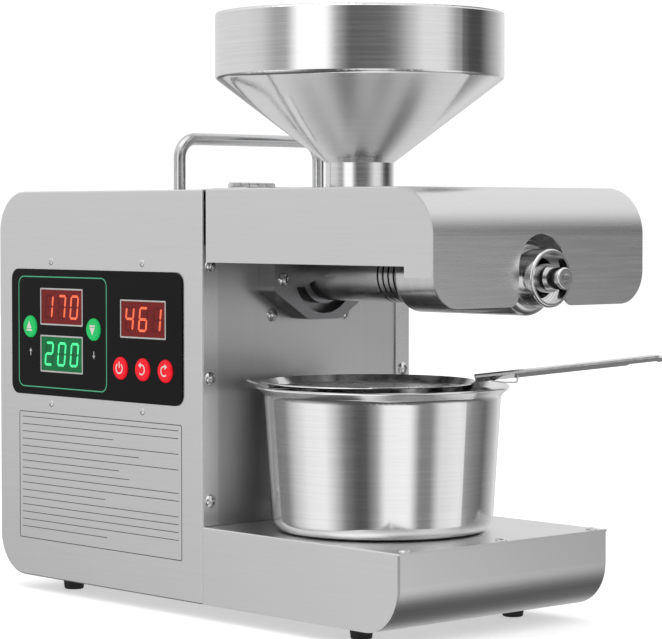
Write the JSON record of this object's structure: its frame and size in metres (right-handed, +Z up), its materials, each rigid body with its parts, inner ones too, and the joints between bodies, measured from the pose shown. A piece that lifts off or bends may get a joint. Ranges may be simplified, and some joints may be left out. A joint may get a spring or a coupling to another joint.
{
  "type": "electric screw oil press",
  "caption": "Countertop screw oil press: steel casing with display panel, hinged cover, hopper, heated barrel with press screw, pot and strainer.",
  "frame": {"origin": "middle of the base's steel underside; the rubber feet reach 9 mm below it", "axes": "+X to the cake outlet, +Z up, the control panel faces -Y"},
  "size_m": [0.4246, 0.2, 0.3597],
  "materials": {
    "brushed_casing": "fine horizontal brushing, clear satin",
    "brushed_recess": "fine vertical brushing, satin",
    "spun_steel": "spun and polished, with fine turning lines",
    "polished_steel": "polished",
    "handle_steel": "drawn tube, satin",
    "cast_flange": "machined casting, dull",
    "machined_steel": "turned, oiled",
    "gear_steel": "hobbed, oiled",
    "zinc_screws": "bright zinc",
    "black_rubber": "matt",
    "fascia_black": "high gloss",
    "display_red": "gloss window over lit segments",
    "display_green": "gloss window over lit segments",
    "button_green": "gloss",
    "button_red": "gloss",
    "board_green": "solder mask",
    "black_plastic": "fine grain",
    "motor_paint": "black enamel",
    "copper_wire": "enamelled wire",
    "bearing_bronze": "sintered",
    "cast_aluminium": "die cast",
    "capacitor_can": "drawn can"
  },
  "bodies": {
    "casing": {"casing_wrap": "brushed_casing", "side_panel_control": "brushed_casing", "side_panel_plain": "brushed_casing", "front_bulkhead": "brushed_recess", "tray_hood": "brushed_casing", "tray_front": "brushed_casing", "tray_screws": "zinc_screws", "flange_screws": "zinc_screws", "bulkhead_screws": "zinc_screws", "rubber_feet": "black_rubber", "carrying_handle": "handle_steel", "handle_nuts": "zinc_screws", "hinge_leaves_casing": "polished_steel", "hinge_pins": "polished_steel", "barrel_flange": "cast_flange", "barrel_bolts": "machined_steel", "press_barrel": "machined_steel", "heater_sleeve": "polished_steel", "temperature_probe": "bearing_bronze", "outlet_ring": "polished_steel", "output_bearings": "bearing_bronze", "layshaft_bearings": "bearing_bronze", "gearbox_housing": "cast_aluminium", "gearbox_cover": "cast_aluminium", "motor_housing": "motor_paint", "motor_windings": "copper_wire", "motor_capacitor": "capacitor_can", "control_fascia": "fascia_black", "control_board": "board_green", "board_posts": "machined_steel", "panel_screws": "zinc_screws", "power_inlet": "black_plastic", "rocker_frame": "black_plastic", "display_current_temperature": "display_red", "display_set_temperature": "display_green", "display_countdown": "display_red"},
    "cover": {"cover_hood": "brushed_casing", "cover_nose": "brushed_casing", "hopper_socket": "machined_steel", "hinge_leaves_cover": "polished_steel"},
    "hopper": {"hopper": "spun_steel", "hopper_tube": "spun_steel"},
    "drive": {"press_screw": "machined_steel", "output_shaft": "machined_steel", "output_gear": "gear_steel"},
    "layshaft": {"layshaft": "gear_steel"},
    "rotor": {"motor_rotor": "gear_steel", "motor_fan": "black_plastic"},
    "pot": {"oil_pot": "spun_steel"},
    "strainer": {"strainer_bowl": "polished_steel", "strainer_mesh": "polished_steel", "strainer_handle": "polished_steel", "strainer_hook": "polished_steel", "strainer_tab": "polished_steel"},
    "rocker": {"rocker_switch": "black_plastic"},
    "button_temperature_up": {"button_temperature_up": "button_green"},
    "button_temperature_down": {"button_temperature_down": "button_green"},
    "button_power": {"button_power": "button_red"},
    "button_run": {"button_run": "button_red"},
    "button_clear": {"button_clear": "button_red"}
  },
  "joints": [
    {"name": "cover_hinge", "type": "hinge", "parent": "casing", "child": "cover", "pos_m": [0.0209, 0, 0.24824], "axis": [0, -1, 0], "range_deg": [0, 22]},
    {"name": "hopper_lift", "type": "slide", "parent": "cover", "child": "hopper", "axis": [0, 0, 1], "range_m": [0, 0.03]},
    {"name": "motor_spin", "type": "hinge", "parent": "casing", "child": "rotor", "pos_m": [0, 0, 0.11605], "axis": [1, 0, 0], "continuous": true},
    {"name": "layshaft_spin", "type": "hinge", "parent": "casing", "child": "layshaft", "pos_m": [0, 0, 0.15205], "axis": [1, 0, 0], "continuous": true},
    {"name": "screw_spin", "type": "hinge", "parent": "casing", "child": "drive", "pos_m": [0, 0, 0.1958], "axis": [1, 0, 0], "continuous": true},
    {"name": "pot_slide", "type": "slide", "parent": "casing", "child": "pot", "axis": [0, -1, 0], "range_m": [0, 0.06]},
    {"name": "strainer_lift", "type": "slide", "parent": "pot", "child": "strainer", "axis": [0, 0, 1], "range_m": [0, 0.03]},
    {"name": "rocker_tilt", "type": "hinge", "parent": "casing", "child": "rocker", "pos_m": [-0.18675, 0.022, 0.062], "axis": [0, -1, 0], "range_deg": [0, 20]},
    {"name": "button_temperature_up_press", "type": "slide", "parent": "casing", "child": "button_temperature_up", "axis": [0, 1, 0], "range_m": [0, 0.001], "stiffness_N_per_m": 400},
    {"name": "button_temperature_down_press", "type": "slide", "parent": "casing", "child": "button_temperature_down", "axis": [0, 1, 0], "range_m": [0, 0.001], "stiffness_N_per_m": 400},
    {"name": "button_power_press", "type": "slide", "parent": "casing", "child": "button_power", "axis": [0, 1, 0], "range_m": [0, 0.001], "stiffness_N_per_m": 400},
    {"name": "button_run_press", "type": "slide", "parent": "casing", "child": "button_run", "axis": [0, 1, 0], "range_m": [0, 0.001], "stiffness_N_per_m": 400},
    {"name": "button_clear_press", "type": "slide", "parent": "casing", "child": "button_clear", "axis": [0, 1, 0], "range_m": [0, 0.001], "stiffness_N_per_m": 400}
  ],
  "couplings": [
    {"joint": "layshaft_spin", "follows": "motor_spin", "ratio": -0.2},
    {"joint": "screw_spin", "follows": "motor_spin", "ratio": 0.05}
  ]
}
